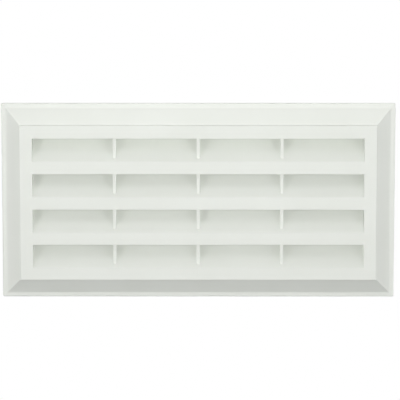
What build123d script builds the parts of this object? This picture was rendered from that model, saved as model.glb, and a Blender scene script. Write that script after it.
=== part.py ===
from build123d import *

import os
from math import hypot, radians, sin, tan

# Louvre grille for the end of a flat ventilation duct, moulded in one piece.
# X runs across the grille, Z up, and the front looks along -Y. The wall is the plane Y = 0.

# The duct, and the spigot that slides into its bore
duct_bore_width = 217.0
duct_bore_height = 87.0
spigot_clearance = 0.5
spigot_wall = 1.5
spigot_length = 30.0
spigot_corner = 3.0
spigot_lead_in = 0.6

# Slots, blades and dividers of the louvred field
slot_rows = 4
slot_columns = 4
bar_height = 8.0
divider_thickness = 2.0
cheek_thickness = 1.5
louvre_angle = 45.0
blade_thickness = 1.8
sight_gap = 1.5

# Face panel, and the bevelled flange around it
skin = 2.0
panel_border = 8.3
panel_step = 3.5
flange_at_sides = 11.7
flange_at_top = 12.7
lip_width = 2.8
lip_thickness = 2.0
bevel_rise = 7.5

# Radii of the edges that a hand or an eye meets
lip_corner = 1.0
lip_round = 0.8
bevel_blend = 2.5
panel_round = 0.8
slot_round = 0.25
blade_round = 0.6

# Sizes that follow
spigot_width = duct_bore_width - 2 * spigot_clearance
spigot_height = duct_bore_height - 2 * spigot_clearance
bore_width = spigot_width - 2 * spigot_wall
bore_height = spigot_height - 2 * spigot_wall
field_width = bore_width - 2 * cheek_thickness
field_height = bore_height
slot_height = (field_height - (slot_rows - 1) * bar_height) / slot_rows
slot_pitch = slot_height + bar_height
cell_pitch = (field_width + divider_thickness) / slot_columns
panel_width = field_width + 2 * panel_border
panel_height = field_height + 2 * panel_border
overall_width = panel_width + 2 * flange_at_sides
overall_height = panel_height + 2 * flange_at_top

# Distances in front of the wall
bevel_top = lip_thickness + bevel_rise
panel_front = bevel_top + panel_step
panel_back = panel_front - skin

# A blade climbs from the bottom edge of its slot to just below the slot's top edge
blade_rise = slot_height - sight_gap
blade_length = blade_rise / sin(radians(louvre_angle))
blade_depth = blade_rise / tan(radians(louvre_angle)) + blade_thickness * sin(radians(louvre_angle))
louvre_back = panel_front - blade_depth

# Section planes through the middle: the second coordinate is the distance in front of the wall
level_section = Plane((0, 0, 0), x_dir=(1, 0, 0), z_dir=(0, 0, -1))
upright_section = Plane((0, 0, 0), x_dir=(0, 0, 1), z_dir=(1, 0, 0))


def symmetric_section(half_outline):
    """A closed section from the outline of its right half."""
    half = make_face(Polyline(half_outline, close=True))
    return half + mirror(half, about=Plane.YZ)


def crossed(level, upright):
    """The form that has one section seen from above and another seen from the side."""
    across = extrude(level_section * level, overall_height, both=True)
    up = extrude(upright_section * upright, overall_width, both=True)
    return across & up


def face_section(panel_size, flange):
    """Lip, bevel and step up to the panel, with a soft bend from the lip into the bevel."""
    half = panel_size / 2
    section = symmetric_section(
        [
            (0, 0),
            (half + flange, 0),
            (half + flange, lip_thickness),
            (half + flange - lip_width, lip_thickness),
            (half, bevel_top),
            (half, panel_front),
            (0, panel_front),
        ]
    )
    lip_points = section.vertices().group_by(Axis.Y)[1].sort_by(Axis.X)
    return fillet(lip_points[1:3], bevel_blend)


def hollow_section(panel_size, flange):
    """Hollow behind the face, which keeps one skin inside the bevel, the step and the panel."""
    run = flange - lip_width
    inset = skin * hypot(run, bevel_rise) / bevel_rise
    at_wall = panel_size / 2 + run * bevel_top / bevel_rise - inset
    at_step = panel_size / 2 - skin
    step_foot = bevel_top - (inset - skin) * bevel_rise / run
    return symmetric_section(
        [(0, 0), (at_wall, 0), (at_step, step_foot), (at_step, panel_back), (0, panel_back)]
    )


def face_shell():
    """Lip, bevel and raised panel as one skin, hollow towards the wall."""
    face = crossed(
        face_section(panel_width, flange_at_sides), face_section(panel_height, flange_at_top)
    )
    lip_corners = face.edges().filter_by(Axis.Y).sort_by_distance((0, 0, 0))[-4:]
    face = fillet(lip_corners, lip_corner)
    lip_face = face.faces().filter_by(Axis.Y).sort_by(Axis.Y)[1]
    face = fillet(lip_face.outer_wire().edges(), min(lip_round, lip_width / 3))
    panel_face = face.faces().sort_by(Axis.Y)[0]
    face = fillet(panel_face.edges(), min(panel_round, panel_step / 2))
    return face - crossed(
        hollow_section(panel_width, flange_at_sides), hollow_section(panel_height, flange_at_top)
    )


def spigot():
    """Rectangular tube from the panel back into the duct, narrowed by cheeks beside the blades."""
    panel_plane = Plane.XZ.offset(panel_back)
    tube = panel_plane * RectangleRounded(spigot_width, spigot_height, spigot_corner)
    tube = extrude(tube, -(panel_back + spigot_length))
    tube = chamfer(tube.faces().sort_by(Axis.Y)[-1].edges(), spigot_lead_in)
    chamber = panel_plane * Rectangle(field_width, field_height)
    bore = RectangleRounded(bore_width, bore_height, spigot_corner - spigot_wall)
    bore = Plane.XZ.offset(louvre_back) * bore
    tube -= extrude(chamber, louvre_back - panel_back)
    return tube - extrude(bore, -(louvre_back + spigot_length))


def slot(bottom):
    """Opening through the panel, as wide as the field."""
    opening = Pos(0, bottom + slot_height / 2) * Rectangle(field_width, slot_height)
    return extrude(Plane.XZ.offset(panel_back) * opening, skin)


def blade(bottom):
    """Sloping blade from the front edge of the panel, with a round rear edge."""
    front_edge = Plane.YZ * Pos(-panel_front, bottom) * Rot(0, 0, louvre_angle)
    section = front_edge * Rectangle(blade_length, blade_thickness, align=(Align.MIN, Align.MAX))
    section = fillet(section.vertices().sort_by(Axis.Y)[-2:], blade_round)
    return extrude(section, field_width / 2, both=True)


def divider(across):
    """Upright fin behind the panel that ties the blades together."""
    depth = panel_back - louvre_back
    section = Pos(-panel_back, 0) * Rectangle(depth, field_height, align=(Align.MIN, Align.CENTER))
    return extrude(Plane.YZ.offset(across) * section, divider_thickness / 2, both=True)


slot_bottoms = [row * slot_pitch - field_height / 2 for row in range(slot_rows)]
middle_divider = (slot_columns - 2) / 2
divider_places = [(place - middle_divider) * cell_pitch for place in range(slot_columns - 1)]

grille = face_shell()
for bottom in slot_bottoms:
    grille -= slot(bottom)
grille += spigot()
for bottom in slot_bottoms:
    grille += blade(bottom)
for across in divider_places:
    grille += divider(across)

# The rims of the slots are eased all round, on the front only
panel_face = grille.faces().sort_by(Axis.Y)[0]
grille = fillet([edge for rim in panel_face.inner_wires() for edge in rim.edges()], slot_round)

os.makedirs("parts", exist_ok=True)
export_step(grille, "parts/louvre_grille.step")
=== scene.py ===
import math

import bpy
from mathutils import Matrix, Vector


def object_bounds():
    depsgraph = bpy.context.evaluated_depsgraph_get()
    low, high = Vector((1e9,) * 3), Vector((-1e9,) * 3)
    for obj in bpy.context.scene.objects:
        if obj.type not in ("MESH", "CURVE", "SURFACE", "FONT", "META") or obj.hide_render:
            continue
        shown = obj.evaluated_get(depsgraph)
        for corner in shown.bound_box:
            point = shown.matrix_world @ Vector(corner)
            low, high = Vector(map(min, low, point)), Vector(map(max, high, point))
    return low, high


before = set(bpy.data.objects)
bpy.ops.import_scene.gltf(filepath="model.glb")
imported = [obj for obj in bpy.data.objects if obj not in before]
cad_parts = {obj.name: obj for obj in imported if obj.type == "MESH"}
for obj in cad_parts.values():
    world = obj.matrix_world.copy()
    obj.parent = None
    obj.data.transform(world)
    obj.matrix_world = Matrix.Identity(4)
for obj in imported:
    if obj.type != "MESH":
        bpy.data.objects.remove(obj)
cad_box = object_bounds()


# Louvre grille: one injection moulding in white plastic, with a fine even grain from the
# spark-eroded mould and a satin sheen. Its spigot slides into a flat duct and holds it on the wall.
# Its shape comes whole from the frame; the finish is made here.
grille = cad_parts["louvre_grille"]

white_plastic = bpy.data.materials.new("white_plastic")
white_plastic.use_nodes = True
nodes = white_plastic.node_tree.nodes
links = white_plastic.node_tree.links
plastic = nodes["Principled BSDF"]
plastic.inputs["IOR"].default_value = 1.5
place = nodes.new("ShaderNodeTexCoord")

# Pigment: a slightly green-grey white, with the faint clouds that the melt leaves as it flows.
clouds = nodes.new("ShaderNodeTexNoise")
clouds.inputs["Scale"].default_value = 28.0
clouds.inputs["Detail"].default_value = 3.0
pigment = nodes.new("ShaderNodeValToRGB")
darker, lighter = pigment.color_ramp.elements
darker.position = 0.3
darker.color = (0.793, 0.815, 0.765, 1.0)
lighter.position = 0.7
lighter.color = (0.815, 0.838, 0.790, 1.0)
links.new(place.outputs["Object"], clouds.inputs["Vector"])
links.new(clouds.outputs["Fac"], pigment.inputs["Fac"])
links.new(pigment.outputs["Color"], plastic.inputs["Base Color"])

# Sheen: satin, a little duller in some places than in others.
wear = nodes.new("ShaderNodeTexNoise")
wear.inputs["Scale"].default_value = 90.0
wear.inputs["Detail"].default_value = 4.0
sheen = nodes.new("ShaderNodeMapRange")
sheen.inputs["To Min"].default_value = 0.42
sheen.inputs["To Max"].default_value = 0.58
links.new(place.outputs["Object"], wear.inputs["Vector"])
links.new(wear.outputs["Fac"], sheen.inputs["Value"])
links.new(sheen.outputs["Result"], plastic.inputs["Roughness"])

# Grain: shallow pits about a third of a millimetre across and at most a few hundredths deep.
grain = nodes.new("ShaderNodeTexNoise")
grain.inputs["Scale"].default_value = 2600.0
grain.inputs["Detail"].default_value = 2.0
pits = nodes.new("ShaderNodeBump")
pits.inputs["Strength"].default_value = 0.25
pits.inputs["Distance"].default_value = 0.00004
links.new(place.outputs["Object"], grain.inputs["Vector"])
links.new(grain.outputs["Fac"], pits.inputs["Height"])
links.new(pits.outputs["Normal"], plastic.inputs["Normal"])

grille.data.materials.clear()
grille.data.materials.append(white_plastic)


# Floor: a plain pale matt sheet, laid a metre below the grille, which hangs free as in the
# photograph. To the camera it glows almost white, and to the grille it is grey.
floor_size = 6.0
floor_drop = 1.0
bpy.ops.mesh.primitive_plane_add(size=floor_size, location=(0.0, 0.0, cad_box[0][2] - floor_drop))
floor = bpy.context.object
floor.name = "floor"


def seen_by_camera(tree):
    """A value of 1 for rays that the camera sees, straight, mirrored or through clear things."""
    ray = tree.nodes.new("ShaderNodeLightPath")
    straight_or_mirrored = tree.nodes.new("ShaderNodeMath")
    straight_or_mirrored.operation = "MAXIMUM"
    seen = tree.nodes.new("ShaderNodeMath")
    seen.operation = "MAXIMUM"
    tree.links.new(ray.outputs["Is Camera Ray"], straight_or_mirrored.inputs[0])
    tree.links.new(ray.outputs["Is Glossy Ray"], straight_or_mirrored.inputs[1])
    tree.links.new(straight_or_mirrored.outputs[0], seen.inputs[0])
    tree.links.new(ray.outputs["Is Transmission Ray"], seen.inputs[1])
    return seen.outputs[0]


pale_floor = bpy.data.materials.new("pale_floor")
pale_floor.use_nodes = True
nodes = pale_floor.node_tree.nodes
links = pale_floor.node_tree.links
matt = nodes["Principled BSDF"]
matt.inputs["Base Color"].default_value = (0.50, 0.50, 0.50, 1.0)
matt.inputs["Roughness"].default_value = 0.9
glow = nodes.new("ShaderNodeEmission")
glow_share = nodes.new("ShaderNodeMath")
glow_share.operation = "MULTIPLY"
glow_share.inputs[1].default_value = 0.95
floor_mix = nodes.new("ShaderNodeMixShader")
links.new(seen_by_camera(pale_floor.node_tree), glow_share.inputs[0])
links.new(glow_share.outputs[0], floor_mix.inputs["Fac"])
links.new(matt.outputs["BSDF"], floor_mix.inputs[1])
links.new(glow.outputs["Emission"], floor_mix.inputs[2])
links.new(floor_mix.outputs["Shader"], nodes["Material Output"].inputs["Surface"])
floor.data.materials.append(pale_floor)


# World: plain white where the camera looks past the grille. Elsewhere it is a plain soft dome,
# brightest at the two sides, much weaker behind and above, and dark in front.
studio = bpy.data.worlds.new("studio")
bpy.context.scene.world = studio
studio.use_nodes = True
nodes = studio.node_tree.nodes
links = studio.node_tree.links
way = nodes.new("ShaderNodeTexCoord")
either_side = nodes.new("ShaderNodeVectorMath")
either_side.operation = "ABSOLUTE"
side_light = nodes.new("ShaderNodeVectorMath")
side_light.operation = "DOT_PRODUCT"
side_light.inputs[1].default_value = (0.90, 0.0, 0.0)
behind_and_above = nodes.new("ShaderNodeVectorMath")
behind_and_above.operation = "DOT_PRODUCT"
behind_and_above.inputs[1].default_value = (0.0, 0.12, 0.04)
rear_light = nodes.new("ShaderNodeMath")
rear_light.operation = "MAXIMUM"
rear_light.inputs[1].default_value = 0.0
dome_light = nodes.new("ShaderNodeMath")
dome_light.operation = "ADD"
dome = nodes["Background"]
dome.inputs["Color"].default_value = (1.0, 1.0, 1.0, 1.0)
white = nodes.new("ShaderNodeBackground")
white.inputs["Color"].default_value = (1.0, 1.0, 1.0, 1.0)
white.inputs["Strength"].default_value = 1.0
world_mix = nodes.new("ShaderNodeMixShader")
links.new(way.outputs["Generated"], either_side.inputs[0])
links.new(either_side.outputs["Vector"], side_light.inputs[0])
links.new(way.outputs["Generated"], behind_and_above.inputs[0])
links.new(behind_and_above.outputs["Value"], rear_light.inputs[0])
links.new(side_light.outputs["Value"], dome_light.inputs[0])
links.new(rear_light.outputs[0], dome_light.inputs[1])
links.new(dome_light.outputs[0], dome.inputs["Strength"])
links.new(seen_by_camera(studio.node_tree), world_mix.inputs["Fac"])
links.new(dome.outputs["Background"], world_mix.inputs[1])
links.new(white.outputs["Background"], world_mix.inputs[2])
links.new(world_mix.outputs["Shader"], nodes["World Output"].inputs["Surface"])


# Lamps: soft boxes on stands around the grille, each with a grid that narrows its beam. They are
# aimed a little above the grille, so that its lower part is dimmer, as in the photograph.
grid_spread = math.radians(80)
aim_point = Vector((0.0, 0.0, 0.12))


def look_at(holder, point):
    """Turn a lamp or the camera to face a point."""
    holder.rotation_euler = (point - holder.location).to_track_quat("-Z", "Y").to_euler()


def soft_box(name, azimuth, elevation, distance, width, height, watts):
    """A rectangular lamp, placed by its angles in degrees and its distance from the grille's middle."""
    lamp = bpy.data.lights.new(name, "AREA")
    lamp.shape = "RECTANGLE"
    lamp.size = width
    lamp.size_y = height
    lamp.spread = grid_spread
    lamp.energy = watts
    holder = bpy.data.objects.new(name, lamp)
    bpy.context.collection.objects.link(holder)
    turn = math.radians(azimuth)
    rise = math.radians(elevation)
    direction = Vector(
        (math.sin(turn) * math.cos(rise), -math.cos(turn) * math.cos(rise), math.sin(rise))
    )
    holder.location = direction * distance
    look_at(holder, aim_point)


soft_box("front_box", azimuth=0, elevation=8, distance=1.9, width=0.08, height=0.05, watts=1.75)
soft_box("left_box", azimuth=-34, elevation=9, distance=1.6, width=0.12, height=0.12, watts=0.88)
soft_box("right_box", azimuth=34, elevation=9, distance=1.6, width=0.12, height=0.12, watts=0.72)
soft_box("high_box", azimuth=0, elevation=55, distance=1.4, width=0.50, height=0.45, watts=0.33)
soft_box("top_box", azimuth=0, elevation=106, distance=1.4, width=0.50, height=0.10, watts=0.40)


# Camera: a long lens almost straight in front of the grille and a little above it, as the
# photograph was taken.
lens = bpy.data.cameras.new("camera")
lens.sensor_width = 36.0
lens.lens = 264.1
lens.clip_end = 20.0
camera = bpy.data.objects.new("camera", lens)
bpy.context.collection.objects.link(camera)
camera.location = (0.0052, -1.8418, 0.3289)
look_at(camera, Vector((0.0011, 0.0, 0.0)))
bpy.context.scene.camera = camera
bpy.context.scene.view_settings.view_transform = "Standard"
